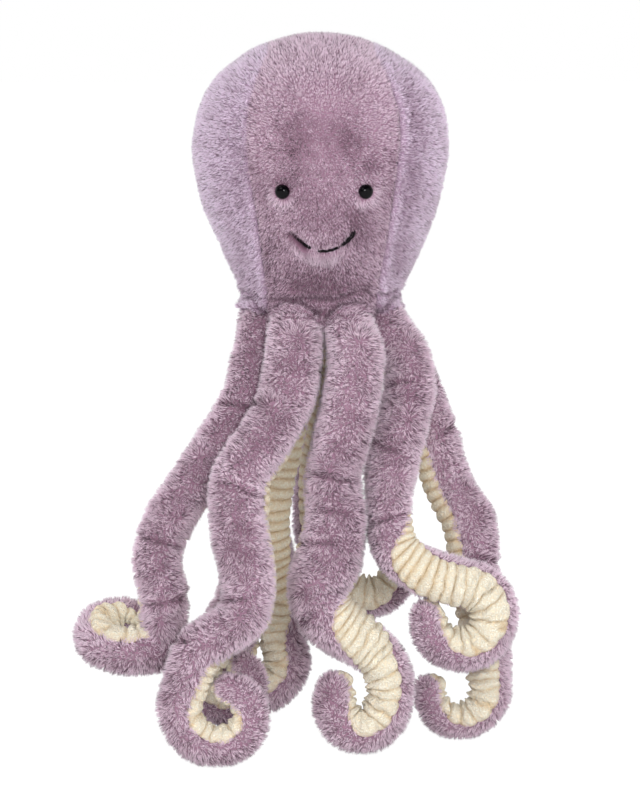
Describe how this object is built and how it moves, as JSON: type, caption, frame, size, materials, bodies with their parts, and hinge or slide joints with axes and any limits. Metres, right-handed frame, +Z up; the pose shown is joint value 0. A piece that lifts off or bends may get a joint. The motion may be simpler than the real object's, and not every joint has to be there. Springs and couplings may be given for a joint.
{
  "type": "plush octopus",
  "caption": "Plush octopus toy: a round panelled head with glossy eyes and a stitched smile, on long curled stuffed arms with ribbed undersides that swing at their seams.",
  "frame": {"origin": "on the floor, under the middle of the whole toy", "axes": "+Z up from the floor to the crown of the head, -Y the way the face looks, +X to the right as someone facing the toy sees it"},
  "size_m": [0.305, 0.2242, 0.488],
  "materials": {
    "plush": "long dense two-tone mauve pile",
    "side_plush": "the same pile, paler and bluer at the sides",
    "ribbed_fabric": "cream short-pile fabric sewn in narrow cross ribs",
    "base_fabric": "short mauve pile",
    "filling": "white polyester fibre",
    "eye": "glossy black",
    "washer": "matt white",
    "thread": "black embroidery thread"
  },
  "bodies": {
    "head": {"head_left_front_panel": "side_plush", "head_left_back_panel": "side_plush", "face_panel": "plush", "back_panel": "plush", "head_right_front_panel": "side_plush", "head_right_back_panel": "side_plush", "head_filling": "filling", "eye_left": "eye", "eye_washer_left": "washer", "eye_right": "eye", "eye_washer_right": "washer", "smile_embroidery": "thread", "base_panel": "base_fabric"},
    "arm_left_front": {"arm_left_front_plush": "plush", "arm_left_front_underside": "ribbed_fabric", "arm_left_front_filling": "filling"},
    "arm_front_left": {"arm_front_left_plush": "plush", "arm_front_left_underside": "ribbed_fabric", "arm_front_left_filling": "filling"},
    "arm_front_right": {"arm_front_right_plush": "plush", "arm_front_right_underside": "ribbed_fabric", "arm_front_right_filling": "filling"},
    "arm_right_front": {"arm_right_front_plush": "plush", "arm_right_front_underside": "ribbed_fabric", "arm_right_front_filling": "filling"},
    "arm_right_back": {"arm_right_back_plush": "plush", "arm_right_back_underside": "ribbed_fabric", "arm_right_back_filling": "filling"},
    "arm_left_back": {"arm_left_back_plush": "plush", "arm_left_back_underside": "ribbed_fabric", "arm_left_back_filling": "filling"},
    "arm_back_left": {"arm_back_left_plush": "plush", "arm_back_left_underside": "ribbed_fabric", "arm_back_left_filling": "filling"},
    "arm_back_right": {"arm_back_right_plush": "plush", "arm_back_right_underside": "ribbed_fabric", "arm_back_right_filling": "filling"}
  },
  "joints": [
    {"name": "arm_left_front_seam", "type": "hinge", "parent": "head", "child": "arm_left_front", "pos_m": [-0.02396, -0.00715, 0.2906], "axis": [-0.3827, 0.9239, 0], "range_deg": [-3, 56]},
    {"name": "arm_front_left_seam", "type": "hinge", "parent": "head", "child": "arm_front_left", "pos_m": [0.00086, -0.03197, 0.2906], "axis": [-0.9239, 0.3827, 0], "range_deg": [-3, 56]},
    {"name": "arm_front_right_seam", "type": "hinge", "parent": "head", "child": "arm_front_right", "pos_m": [0.03596, -0.03197, 0.2906], "axis": [-0.9239, -0.3827, 0], "range_deg": [-3, 56]},
    {"name": "arm_right_front_seam", "type": "hinge", "parent": "head", "child": "arm_right_front", "pos_m": [0.06078, -0.00715, 0.2906], "axis": [-0.3827, -0.9239, 0], "range_deg": [-3, 56]},
    {"name": "arm_right_back_seam", "type": "hinge", "parent": "head", "child": "arm_right_back", "pos_m": [0.06078, 0.02796, 0.2906], "axis": [0.3827, -0.9239, 0], "range_deg": [-3, 56]},
    {"name": "arm_left_back_seam", "type": "hinge", "parent": "head", "child": "arm_left_back", "pos_m": [-0.02396, 0.02796, 0.2906], "axis": [0.3827, 0.9239, 0], "range_deg": [-3, 56]},
    {"name": "arm_back_left_seam", "type": "hinge", "parent": "head", "child": "arm_back_left", "pos_m": [0.00086, 0.05277, 0.2906], "axis": [0.9239, 0.3827, 0], "range_deg": [-3, 56]},
    {"name": "arm_back_right_seam", "type": "hinge", "parent": "head", "child": "arm_back_right", "pos_m": [0.03596, 0.05277, 0.2906], "axis": [0.9239, -0.3827, 0], "range_deg": [-3, 56]}
  ]
}
